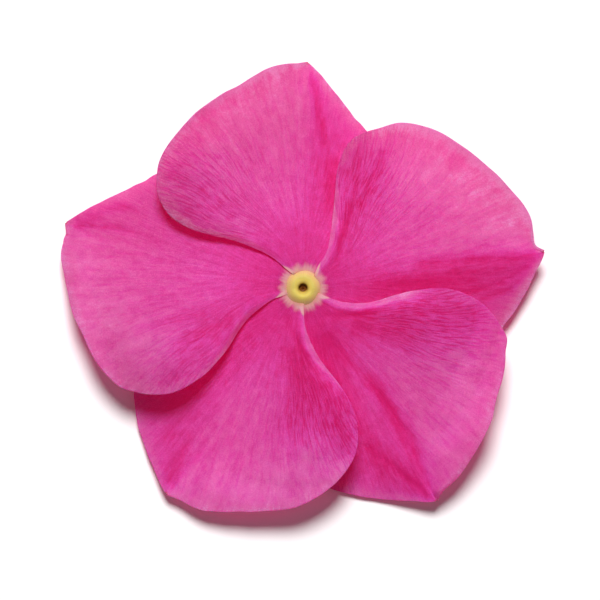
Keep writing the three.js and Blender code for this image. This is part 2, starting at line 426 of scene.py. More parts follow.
def set_stops(ramp: ColorRamp, stops: tuple[tuple[float, str], ...], full: float) -> None:
    """Fills a new colour ramp with its stops.

    Args:
        ramp: The ramp.
        stops: Pairs of place and hex colour, in rising order of place.
        full: The place that the ramp's far end stands for.
    """
    for spare in list(ramp.elements)[1:]:
        ramp.elements.remove(spare)
    ramp.elements[0].position = stops[0][0] / full
    ramp.elements[0].color = linear(stops[0][1])
    for place, color in stops[1:]:
        ramp.elements.new(place / full).color = linear(color)


def blank_material(name: str) -> tuple[Material, NodeTree, Node]:
    """Makes a material.

    Args:
        name: Its name.

    Returns:
        The material, its node tree and its main shader.
    """
    made = bpy.data.materials.new(name)
    made.use_nodes = True
    return made, made.node_tree, made.node_tree.nodes["Principled BSDF"]


@dataclass(frozen=True)
class Flesh:
    """How a moist plant tissue takes the light. The depth is how far light spreads in it."""

    roughness: float
    gloss: float = 0.5
    ior: float = 1.4
    weight: float = 0.3
    spread: tuple[float, float, float] = (1.0, 0.8, 0.5)
    depth_mm: float = 0.3

    def give(self, shader: Node) -> None:
        """Sets these values on a main shader's own sockets.

        Args:
            shader: The main shader.
        """
        values = {
            "Roughness": self.roughness,
            "Specular IOR Level": self.gloss,
            "IOR": self.ior,
            "Subsurface Weight": self.weight,
            "Subsurface Radius": self.spread,
            "Subsurface Scale": self.depth_mm * MM,
        }
        for name, value in values.items():
            shader.inputs[name].default_value = value


@dataclass(frozen=True)
class ThinSkin:
    """A petal's skin, which lets some light through, so that shadows under it glow in its colour."""

    roughness: float
    passing: float
    glow: str = "ff5cc0"

    def give(self, tree: NodeTree, color: NodeSocket) -> None:
        """Dresses a material as such a skin.

        Args:
            tree: The material's node tree, with its main shader.
            color: The skin's own colour.
        """
        shader = tree.nodes["Principled BSDF"]
        Flesh(self.roughness, gloss=0.2, spread=(1.0, 0.2, 0.4), depth_mm=0.2).give(shader)
        tree.links.new(color, shader.inputs["Base Color"])
        through = add_node(tree, "ShaderNodeBsdfTranslucent", links={"Color": linear(self.glow)})
        both = add_node(
            tree,
            "ShaderNodeMixShader",
            links={0: self.passing, 1: shader.outputs["BSDF"], 2: through.outputs["BSDF"]},
        )
        tree.links.new(both.outputs[0], tree.nodes["Material Output"].inputs["Surface"])


@dataclass(frozen=True)
class PetalVelvet:
    """The upper skin of a petal: living petal tissue, a film of water-filled cells under tiny cones.

    The cones give a velvety, nearly glossless face. Its colour runs from pale to deep as the pigment in it
    grows denser, in fine broken lines along the veins. Counts and steps are per unit of the petal's fan map,
    which is in millimetres along the veins. A pattern's strength is how much pigment it brings, and its
    light is how much of the skin's brightness it takes.
    """

    name: str = "petal upper velvet"
    skin: ThinSkin = ThinSkin(roughness=0.62, passing=0.56)
    pigment_ramp: tuple[tuple[float, str], ...] = (
        (0.0, "e2c2fa"),
        (0.3, "e58ed9"),
        (0.7, "e05dcf"),
        (1.1, "d13197"),
        (1.4, "c21f7b"),
    )
    halo: str = "fff2e0"
    halo_mm: tuple[float, float] = (1.6, 2.6)
    halo_share: float = 0.75
    halo_inner: str = "e0be8c"
    halo_inner_mm: tuple[float, float] = (1.45, 2.05)
    halo_inner_share: float = 0.9
    spike_steps: tuple[float, float, float] = (0.16, 0.35, 1.0)
    spike_mm: float = 1.3
    ridge_mm: float = 1.3
    mucro: str = "b06848"
    mottle_mm: float = 0.75
    mottle_strength: float = 0.3
    mottle_light: float = 0.3
    grain_mm: float = 0.12
    grain_strength: float = 0.45
    grain_light: float = 0.45
    vein_length_mm: float = 6.0
    vein_count: float = 1.6
    vein_strength: float = 0.4
    vein_light: float = 0.3
    hatch_length_mm: float = 1.6
    hatch_count: float = 7.0
    hatch_noise: tuple[float, float] = (0.38, 0.72)
    hatch_pigment: tuple[float, float] = (-0.2, 0.3)
    hatch_sink: float = 2.5
    relief_mm: float = 0.04
    relief_strength: float = 0.7

    def material(self) -> Material:
        """Builds the material.

        Returns:
            The new material, which reads the petal's own attributes and its fan map.
        """
        made, tree, shader = blank_material(self.name)
        fan = add_node(tree, "ShaderNodeUVMap", {"uv_map": "fan"}).outputs["UV"]
        hatch = self._hatch(tree, fan)
        color = self._eye_side(tree, fan, self._pigment(tree, fan, hatch))
        self.skin.give(tree, color)
        self._relief(tree, hatch, shader)
        return made

    def _hatch(self, tree: NodeTree, fan: NodeSocket) -> NodeSocket:
        """Draws fine broken lines along the veins.

        Args:
            tree: The material's node tree.
            fan: The petal's fan map.

        Returns:
            The pigment that the lines bring, about zero, by the petal's own hatch strength.
        """
        steps = (self.hatch_count, 1 / self.hatch_length_mm, 1.0)
        stretched = add_node(tree, "ShaderNodeMapping", links={"Vector": fan, "Scale": steps})
        lines = add_node(
            tree,
            "ShaderNodeTexNoise",
            {"noise_dimensions": "2D"},
            {"Vector": stretched.outputs["Vector"], "Scale": 1.0, "Detail": 1.5, "Roughness": 0.55},
        )
        (low, high), (least, most) = self.hatch_noise, self.hatch_pigment
        dark = add_node(
            tree,
            "ShaderNodeMapRange",
            {"interpolation_type": "SMOOTHSTEP"},
            {
                "Value": lines.outputs["Fac"],
                "From Min": low,
                "From Max": high,
                "To Min": least,
                "To Max": most,
            },
        )
        strength = add_node(tree, "ShaderNodeAttribute", {"attribute_name": "hatch"})
        factors = {0: dark.outputs["Result"], 1: strength.outputs["Fac"]}
        return add_node(tree, "ShaderNodeMath", {"operation": "MULTIPLY"}, factors).outputs[0]

    def _pigment(self, tree: NodeTree, fan: NodeSocket, hatch: NodeSocket) -> NodeSocket:
        """Colours the skin by its pigment, with soft veins, a cloudy mottle and the grain of single cells,
        and darkens it by the painted shade that each petal carries.

        Args:
            tree: The material's node tree.
            fan: The petal's fan map.
            hatch: The pigment that the fine lines bring.

        Returns:
            The colour.
        """
        # The second attribute is the share of colour left after painted shade; the veins, mottle and grain
        # then vary it.
        density, shade_and_mottle_kept = (
            add_node(tree, "ShaderNodeAttribute", {"attribute_name": name}).outputs["Fac"]
            for name in ("pigment", "painted_shade_kept")
        )
        density = add_node(tree, "ShaderNodeMath", {"operation": "ADD"}, {0: hatch, 1: density}).outputs[0]
        place = add_node(tree, "ShaderNodeTexCoord").outputs["Object"]
        steps = (self.vein_count, 1 / self.vein_length_mm, 1.0)
        veins = add_node(tree, "ShaderNodeMapping", links={"Vector": fan, "Scale": steps}).outputs["Vector"]
        layers = (
            (veins, 1.0, 2.0, self.vein_strength, self.vein_light),
            (place, 1 / (self.mottle_mm * MM), 3.0, self.mottle_strength, self.mottle_light),
            (place, 1 / (self.grain_mm * MM), 1.0, self.grain_strength, self.grain_light),
        )
        for source, scale, detail, strength, shade in layers:
            noise = add_node(
                tree,
                "ShaderNodeTexNoise",
                links={"Vector": source, "Scale": scale, "Detail": detail, "Roughness": 0.6},
            )
            centred = add_node(
                tree, "ShaderNodeMath", {"operation": "SUBTRACT"}, {0: noise.outputs["Fac"], 1: 0.5}
            ).outputs[0]
            density, shade_and_mottle_kept = (
                add_node(
                    tree, "ShaderNodeMath", {"operation": "MULTIPLY_ADD"}, {0: centred, 1: share, 2: before}
                ).outputs[0]
                for share, before in ((strength, density), (-shade, shade_and_mottle_kept))
            )
        full = self.pigment_ramp[-1][0]
        share = add_node(tree, "ShaderNodeMath", {"operation": "DIVIDE"}, {0: density, 1: full})
        ramp = add_node(tree, "ShaderNodeValToRGB", links={"Fac": share.outputs[0]})
        set_stops(ramp.color_ramp, self.pigment_ramp, full)
        scaled = {0: ramp.outputs["Color"], "Scale": shade_and_mottle_kept}
        return add_node(tree, "ShaderNodeVectorMath", {"operation": "SCALE"}, scaled).outputs[0]

    def _eye_side(self, tree: NodeTree, fan: NodeSocket, color: NodeSocket) -> NodeSocket:
        """Adds the soft ragged cream halo round the mouth, and the brown point of the tip.

        Args:
            tree: The material's node tree.
            fan: The petal's fan map.
            color: The skin's colour without them.

        Returns:
            The colour with them.
        """
        radius, ridge, tip = (
            add_node(tree, "ShaderNodeAttribute", {"attribute_name": name}).outputs["Fac"]
            for name in ("radius_mm", "ridge", "mucro")
        )
        stretched = add_node(tree, "ShaderNodeMapping", links={"Vector": fan, "Scale": self.spike_steps})
        ragged = add_node(
            tree,
            "ShaderNodeTexNoise",
            {"noise_dimensions": "2D"},
            {"Vector": stretched.outputs["Vector"], "Scale": 1.0, "Detail": 2.0, "Roughness": 0.6},
        )
        centred = add_node(
            tree, "ShaderNodeMath", {"operation": "SUBTRACT"}, {0: ragged.outputs["Fac"], 1: 0.5}
        )
        spread = radius
        for source, reach in ((centred.outputs[0], self.spike_mm), (ridge, self.ridge_mm)):
            spread = add_node(
                tree, "ShaderNodeMath", {"operation": "MULTIPLY_ADD"}, {0: source, 1: -reach, 2: spread}
            ).outputs[0]
        rings = (
            (spread, self.halo_mm, self.halo_share),
            (radius, self.halo_inner_mm, self.halo_inner_share),
        )
        masks = [
            add_node(
                tree,
                "ShaderNodeMapRange",
                {"interpolation_type": "SMOOTHSTEP"},
                {"Value": place, "From Min": near, "From Max": far, "To Min": most, "To Max": 0.0},
            ).outputs["Result"]
            for place, (near, far), most in rings
        ]
        for mask, tint in zip((*masks, tip), (self.halo, self.halo_inner, self.mucro)):
            tinted = {0: mask, 6: color, 7: linear(tint)}
            color = add_node(tree, "ShaderNodeMix", {"data_type": "RGBA"}, tinted).outputs[2]
        return color

    def _relief(self, tree: NodeTree, hatch: NodeSocket, shader: Node) -> None:
        """Gives the skin its fine grain. The real cones are 0.03 mm wide, and are drawn coarser to show.

        Args:
            tree: The material's node tree.
            hatch: The fine lines, which lie a little lower than the skin round them.
            shader: The main shader.
        """
        place = add_node(tree, "ShaderNodeTexCoord").outputs["Object"]
        cones = {"Vector": place, "Scale": 1 / (self.grain_mm * MM), "Detail": 2.0}
        grain = add_node(tree, "ShaderNodeTexNoise", links=cones).outputs["Fac"]
        sunk = {0: hatch, 1: -self.hatch_sink, 2: grain}
        height = add_node(tree, "ShaderNodeMath", {"operation": "MULTIPLY_ADD"}, sunk).outputs[0]
        bump = add_node(
            tree,
            "ShaderNodeBump",
            links={"Height": height, "Strength": self.relief_strength, "Distance": self.relief_mm * MM},
        )
        tree.links.new(bump.outputs["Normal"], shader.inputs["Normal"])


@dataclass(frozen=True)
class PetalUnderside:
    """The under skin of a petal: the same tissue, paler and smoother, with its veins standing out.

    The bands give its colour by the distance from the axis, in millimetres.
    """

    name: str = "petal under skin"
    skin: ThinSkin = ThinSkin(roughness=0.5, passing=0.95)
    bands: tuple[tuple[float, str], ...] = ((1.75, "efe2c0"), (5.0, "eeaed2"), (22.5, "f29bce"))
    reach_mm: float = 25.0
    vein: str = "dc6cae"
    vein_steps: tuple[float, float, float] = (1.1, 0.12, 1.0)
    vein_noise: tuple[float, float] = (0.5, 0.7)
    vein_share: float = 0.6

    def material(self) -> Material:
        """Builds the material.

        Returns:
            The new material, which reads the petal's own attributes and its fan map.
        """
        made, tree, _ = blank_material(self.name)
        radius = add_node(tree, "ShaderNodeAttribute", {"attribute_name": "radius_mm"}).outputs["Fac"]
        share = add_node(tree, "ShaderNodeMath", {"operation": "DIVIDE"}, {0: radius, 1: self.reach_mm})
        ramp = add_node(tree, "ShaderNodeValToRGB", links={"Fac": share.outputs[0]})
        set_stops(ramp.color_ramp, self.bands, self.reach_mm)
        fan = add_node(tree, "ShaderNodeUVMap", {"uv_map": "fan"}).outputs["UV"]
        stretched = add_node(tree, "ShaderNodeMapping", links={"Vector": fan, "Scale": self.vein_steps})
        noise = add_node(
            tree,
            "ShaderNodeTexNoise",
            {"noise_dimensions": "2D"},
            {"Vector": stretched.outputs["Vector"], "Scale": 1.0, "Detail": 3.0},
        )
        low, high = self.vein_noise
        lines = {"Value": noise.outputs["Fac"], "From Min": low, "From Max": high, "To Max": self.vein_share}
        line = add_node(tree, "ShaderNodeMapRange", links=lines).outputs["Result"]
        veined = {0: line, 6: ramp.outputs["Color"], 7: linear(self.vein)}
        color = add_node(tree, "ShaderNodeMix", {"data_type": "RGBA"}, veined).outputs[2]
        self.skin.give(tree, color)
        return made


@dataclass(frozen=True)
class WaxyRing:
    """The yellow ring at the mouth: smooth, moist tissue with a waxy gleam, and brown hairs in its throat,
    whose brown is deepened as painted shade of the deep mouth.

    The bands give its colour by the distance from the axis, in millimetres.
    """

    name: str = "eye ring waxy yellow"
    flesh: Flesh = Flesh(0.45, gloss=0.3, ior=1.42, weight=0.4, spread=(1.0, 0.7, 0.25), depth_mm=0.25)
    bands: tuple[tuple[float, str], ...] = (
        # The first three browns, on the hairs inside the mouth, are their own brown made darker as painted
        # shade of the deep throat.
        (0.0, "6e340e"),
        (0.3, "6e3c10"),
        (0.38, "5e3c0a"),
        (0.44, "b08a3c"),
        (0.55, "d2b65a"),
        (0.75, "d2ba5a"),
        (1.0, "c4af52"),
        (1.35, "d0b068"),
        (1.6, "d2a678"),
        (1.8, "d2a080"),
    )

    def material(self) -> Material:
        """Builds the material.

        Returns:
            The new material, on Object coordinates.
        """
        made, tree, shader = blank_material(self.name)
        place = add_node(tree, "ShaderNodeTexCoord").outputs["Object"]
        level = {0: place, 1: (1 / MM, 1 / MM, 0.0)}
        flat = add_node(tree, "ShaderNodeVectorMath", {"operation": "MULTIPLY"}, level).outputs[0]
        radius = add_node(tree, "ShaderNodeVectorMath", {"operation": "LENGTH"}, {0: flat}).outputs["Value"]
        full = self.bands[-1][0]
        share = add_node(tree, "ShaderNodeMath", {"operation": "DIVIDE"}, {0: radius, 1: full})
        ramp = add_node(tree, "ShaderNodeValToRGB", links={"Fac": share.outputs[0]})
        set_stops(ramp.color_ramp, self.bands, full)
        tree.links.new(ramp.outputs["Color"], shader.inputs["Base Color"])
        self.flesh.give(shader)
        return made


@dataclass(frozen=True)
class StalkTissue:
    """Plain moist plant tissue: the tube, the anthers and the style, each in its own colour.

    Its cells give a soft face, with faint pale and dark patches and a fine grain.
    """

    name: str
    light: str
    dark: str
    grain_mm: float = 0.4
    roughness: float = 0.5
    patch_noise: tuple[float, float] = (0.35, 0.65)
    relief_mm: float = 0.05
    relief_strength: float = 0.3

    def material(self) -> Material:
        """Builds the material.

        Returns:
            The new material, a soft mottle of its two colours on Object coordinates.
        """
        made, tree, shader = blank_material(self.name)
        place = add_node(tree, "ShaderNodeTexCoord").outputs["Object"]
        cells = {"Vector": place, "Scale": 1 / (self.grain_mm * MM), "Detail": 3.0}
        noise = add_node(tree, "ShaderNodeTexNoise", links=cells).outputs["Fac"]
        low, high = self.patch_noise
        patches = {"Value": noise, "From Min": low, "From Max": high}
        patch = add_node(tree, "ShaderNodeMapRange", links=patches)
        mottled = {0: patch.outputs["Result"], 6: linear(self.light), 7: linear(self.dark)}
        color = add_node(tree, "ShaderNodeMix", {"data_type": "RGBA"}, mottled).outputs[2]
        bump = add_node(
            tree,
            "ShaderNodeBump",
            links={"Height": noise, "Strength": self.relief_strength, "Distance": self.relief_mm * MM},
        )
        tree.links.new(color, shader.inputs["Base Color"])
        tree.links.new(bump.outputs["Normal"], shader.inputs["Normal"])
        Flesh(self.roughness).give(shader)
        return made


@dataclass(frozen=True)
class MattPaper:
    """The floor: matt white paper, which throws back an even light with hardly any gleam."""

    name: str = "floor matt white paper"
    color: str = "f2f2f2"
    roughness: float = 0.9
    gloss: float = 0.1

    def material(self) -> Material:
        """Builds the material.

        Returns:
            The new material, plain.
        """
        made, _, shader = blank_material(self.name)
        shader.inputs["Base Color"].default_value = linear(self.color)
        shader.inputs["Roughness"].default_value = self.roughness
        shader.inputs["Specular IOR Level"].default_value = self.gloss
        return made


def place_piece(mesh: Mesh, node: str) -> Object:
    """Puts a finished mesh in the scene in place of one solid of the frame.

    Args:
        mesh: The mesh, in metres, in the frame's axes.
        node: The solid that it stands for.

    Returns:
        The new object, at the origin.
    """
    piece = bpy.data.objects.new(f"{node}_bloom", mesh)
    bpy.context.collection.objects.link(piece)
    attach(piece, BODY)
    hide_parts(node)
    return piece


@dataclass(frozen=True)
class Blade:
    """Where each point of a petal's sheet lies, in the petal's own frame. Lengths are in millimetres.

    Out runs from 0 at the claw to 1 at the tip. Side runs from -1 at the covered margin over 0 at the midrib
    to 1 at the lobe's margin. Fan is the place across the veins, which spread like a fan from the mouth.
    """

    out: np.ndarray
    side: np.ndarray
    along: np.ndarray
    across: np.ndarray
    to_margin: np.ndarray
    fan_half: ClassVar[float] = 11.0
    lobe_spread: ClassVar[Points] = ((2, 34), (12, 58), (22, 66))
    covered_spread: ClassVar[Points] = ((2, 30), (10, 38))

    @property
    def radius(self) -> np.ndarray:
        """Distance from the bloom's axis."""
        return np.hypot(self.along, self.across)

    @property
    def turn(self) -> np.ndarray:
        """Angle from the midrib, in degrees."""
        return np.degrees(np.arctan2(self.across, self.along))

    @property
    def fan(self) -> np.ndarray:
        """Place across the veins, from the margins' angles at each radius."""
        lobe, covered = eased(self.radius, self.lobe_spread), eased(self.radius, self.covered_spread)
        return self.fan_half * self.turn / np.where(self.turn > 0, lobe, covered)


@dataclass
class PetalForm:
    """The shape of one petal: a thin arched sheet with a pinwheel twist, a waved lobe and fine relief.

    Spans are pairs of where something starts and where it is full, in millimetres or in shares of the petal.
    Each seed is added to the petal's own.
    """

    shape: PetalShape
    claw: float = 1.55
    end: float = 0.9985
    thickness: float = 0.25
    claw_height: float = 5.25
    shoulder_radius: float = 5.0
    shoulder_rise: float = -0.02
    rim_radius: float = 22.5
    droop_power: float = 1.15
    twist_far: float = 2.3
    twist_scale: float = 7.0
    twist_closing: Points = ((1.8, 0.36), (6.8, 1.0))
    tip_reach: float = 8.0
    tip_power: float = 1.8
    fold_width: float = 14.0
    fold_full: float = 0.67
    lift_full: float = 0.4
    lift_gone: float = 0.25
    roll_height: float = 0.3
    roll_place: float = 0.75
    roll_half_width: float = 0.25
    roll_length: float = 0.55
    wave_height: float = 0.28
    waves: float = 3.0
    wave_full: float = 0.5
    ruffle: float = 0.06
    ruffles: float = 30.0
    ruffle_full: float = 0.3
    ruffle_gone: float = 0.1
    ruffle_row: float = 5.5
    ruffle_seed: int = 7
    band_drop: float = 0.16
    band_drop_out: Span = (2.0, 5.0)
    band_fade: float = 0.12
    band_growth: Points = ((2, 0.45), (7, 1.0))
    band_wander: float = 0.25
    band_wander_mm: float = 1.7
    band_seed: int = 4
    band_soft: float = 0.8
    band_shift: float = 0.3
    valley_depth: float = 0.1
    valley_place: float = 1.0
    valley_half_width: float = 1.4
    valley_out: Span = (2.5, 5.5)
    swell: float = 0.07
    swell_mm: float = 3.1
    swell_seed: int = 2
    swell_out: Span = (3.0, 8.0)
    crease_start: float = 0.12
    crease_end: float = 0.3
    step_to_next: float = 72.0
    step_from_last: float = 72.0

    def margin(self, points: Points, share: np.ndarray) -> np.ndarray:
        """Reads places on a margin by its arc length.

        Args:
            points: The margin's points, from the claw out.
            share: How far along the margin each place is, from 0 to 1.

        Returns:
            One row of along and across for each place.
        """
        knots = np.array([*points, (self.shape.tip, 0.0)])
        padded = np.vstack([knots[0], knots, knots[-1]])
        steps_between = 40
        t = np.linspace(0, 1, steps_between, endpoint=False)[:, None]
        spans = []
        for a, b, c, d in zip(padded, padded[1:], padded[2:], padded[3:]):
            pull_in = (c - a) / 2
            pull_out = (d - b) / 2
            cubic = (2 * b - 2 * c + pull_in + pull_out) * t**3
            square = (3 * c - 3 * b - 2 * pull_in - pull_out) * t**2
            spans.append(cubic + square + pull_in * t + b)
        line = np.vstack([*spans, knots[-1][None]])
        length = np.concatenate([[0], np.cumsum(np.hypot(*np.diff(line, axis=0).T))])
        wanted = share * length[-1]
        return np.stack([np.interp(wanted, length, line[:, i]) for i in (0, 1)], axis=-1)

    def layout(self, out: np.ndarray, side: np.ndarray) -> Blade:
        """Lays the sheet's points out between the midrib and the two margins.

        Args:
            out: From 0 at the claw to 1 at the tip.
            side: From -1 at the covered margin to 1 at the lobe's.

        Returns:
            The places of the points.
        """
        shape = self.shape
        edge = np.where(side[:, None] >= 0, self.margin(shape.lobe, out), self.margin(shape.covered, out))
        reach = np.abs(side)
        midrib = self.claw + (shape.tip - self.claw) * out
        to_margin = (1 - reach) * np.hypot(edge[:, 0] - midrib, edge[:, 1])
        length = np.hypot(edge[:, 0], edge[:, 1])
        margin_row = np.sign(side) * self.ruffle_row
        nudge = self.ruffle * ripple(out * self.ruffles, margin_row, shape.seed + self.ruffle_seed)
        nudge = nudge * smooth(out / self.ruffle_full) * smooth((1 - out) / self.ruffle_gone)
        edge = edge * (1 + nudge / length)[:, None]
        along = midrib * (1 - reach) + edge[:, 0] * reach
        return Blade(out, side, along, edge[:, 1] * reach, to_margin)

    def open_height(self, blade: Blade) -> np.ndarray:
        """Works out the middle surface before the tip is bent, from the same rules as the solid's.

        Args:
            blade: The sheet's points.

        Returns:
            Their heights.
        """
        shape = self.shape
        radius, turn = blade.radius, blade.turn
        past = np.maximum(0, radius - self.shoulder_radius) / (self.rim_radius - self.shoulder_radius)
        arch = self.claw_height + self.shoulder_rise * smooth(radius / self.shoulder_radius)
        arch = arch - shape.droop * past**self.droop_power
        step = np.where(turn > 0, self.step_to_next, self.step_from_last)
        closing = eased(radius, self.twist_closing)
        twist = self.twist_far * (1 - np.exp(-radius / self.twist_scale)) * closing * turn / step
        fold = shape.fold * smooth(blade.out / self.fold_full) * smooth(-turn / self.fold_width)
        lobe = np.maximum(0, blade.side)
        lift = shape.lobe_lift * smooth(lobe) * smooth(blade.out / self.lift_full)
        lift = lift * smooth((1 - blade.out) / self.lift_gone)
        roll_across = smooth(1 - np.abs(lobe - self.roll_place) / self.roll_half_width)
        roll = self.roll_height * roll_across * np.sin(np.pi * np.minimum(1, blade.out / self.roll_length))
        wave = np.sin(2 * np.pi * (self.waves * blade.out + shape.wave_phase))
        wave = self.wave_height * lobe**3 * smooth(blade.out / self.wave_full) * wave
        return arch + twist - fold + lift + roll + wave - smooth(lobe) * eased(radius, shape.settle)

    def height(self, blade: Blade) -> np.ndarray:
        """Works out the middle surface with the tip bent down towards what the bloom rests on.

        Args:
            blade: The sheet's points.

        Returns:
            Their heights.
        """
        shape = self.shape
        none = np.zeros(1)
        at_tip = Blade(none + 1, none, none + shape.tip, none, none)
        drop = self.open_height(at_tip)[0] - self.thickness / 2 - shape.tip_lift
        near = np.maximum(0, 1 - np.hypot(blade.along - shape.tip, blade.across) / self.tip_reach)
        return self.open_height(blade) - drop * near**self.tip_power

    def near_base(self, blade: Blade) -> np.ndarray:
        """Share of the margin band's strength, which fades out on the way to the crown of the lobe."""
        return np.where(blade.side > 0, 1 - smooth((blade.out - self.shape.band_end) / self.band_fade), 0.0)

    def band(self, blade: Blade) -> np.ndarray:
        """Finds the pale band along the inner stretch of the lobe's margin.

        Args:
            blade: The sheet's points.

        Returns:
            From 0 off the band to 1 on it.
        """
        seed = self.shape.seed + self.band_seed
        wander = ripple(blade.radius / self.band_wander_mm, blade.side * 0, seed)
        width = self.shape.band_width * eased(blade.radius, self.band_growth)
        width = width * (1 + self.band_wander * wander)
        inside = smooth((width - blade.to_margin) / self.band_soft + self.band_shift)
        return inside * self.near_base(blade) * self.shape.band

    def valley(self, blade: Blade) -> np.ndarray:
        """Finds the hollow beside that band.

        Args:
            blade: The sheet's points.

        Returns:
            From 0 off the hollow to 1 at its bottom.
        """
        past = blade.to_margin - self.shape.band_width - self.valley_place
        hollow = smooth(1 - np.abs(past) / self.valley_half_width)
        return hollow * self.near_base(blade) * rise(blade.radius, self.valley_out) * self.shape.band

    def crease(self, crease: Crease, blade: Blade) -> np.ndarray:
        """Finds how close each place is to a crease, which fades towards both its ends.

        Args:
            crease: The crease.
            blade: The sheet's points.

        Returns:
            From 0 far off it to 1 on it.
        """
        path = np.array(crease.path)
        steps = np.diff(path, axis=0)
        lengths = np.hypot(*steps.T)
        gone = np.concatenate([[0], np.cumsum(lengths)])
        best = np.full_like(blade.along, np.inf)
        place = np.zeros_like(blade.along)
        for start, run, length, before in zip(path, steps, lengths, gone):
            t = ((blade.along - start[0]) * run[0] + (blade.across - start[1]) * run[1]) / length**2
            t = np.clip(t, 0, 1)
            off = np.hypot(blade.along - start[0] - t * run[0], blade.across - start[1] - t * run[1])
            nearer = off < best
            best = np.where(nearer, off, best)
            place = np.where(nearer, before + t * length, place)
        share = place / gone[-1]
        ends = smooth(share / self.crease_start) * smooth((1 - share) / self.crease_end)
        return ends * np.exp(-((best / crease.width) ** 2))

    def relief(self, blade: Blade) -> np.ndarray:
        """Works out the fine height on top of the plain surface: rolled margin, hollow, creases and swells.

        Args:
            blade: The sheet's points.

        Returns:
            What it adds to their heights.
        """
        shape = self.shape
        edge = np.maximum(0, 1 - blade.to_margin / shape.band_width)
        relief = -self.band_drop * edge**2 * self.near_base(blade) * rise(blade.radius, self.band_drop_out)
        relief = relief - self.valley_depth * self.valley(blade)
        seed = shape.seed + self.swell_seed
        swell = ripple(blade.along / self.swell_mm, blade.across / self.swell_mm, seed)
        relief = relief + self.swell * swell * rise(blade.radius, self.swell_out)
        for crease in shape.creases:
            relief = relief - crease.depth * self.crease(crease, blade)
        return relief


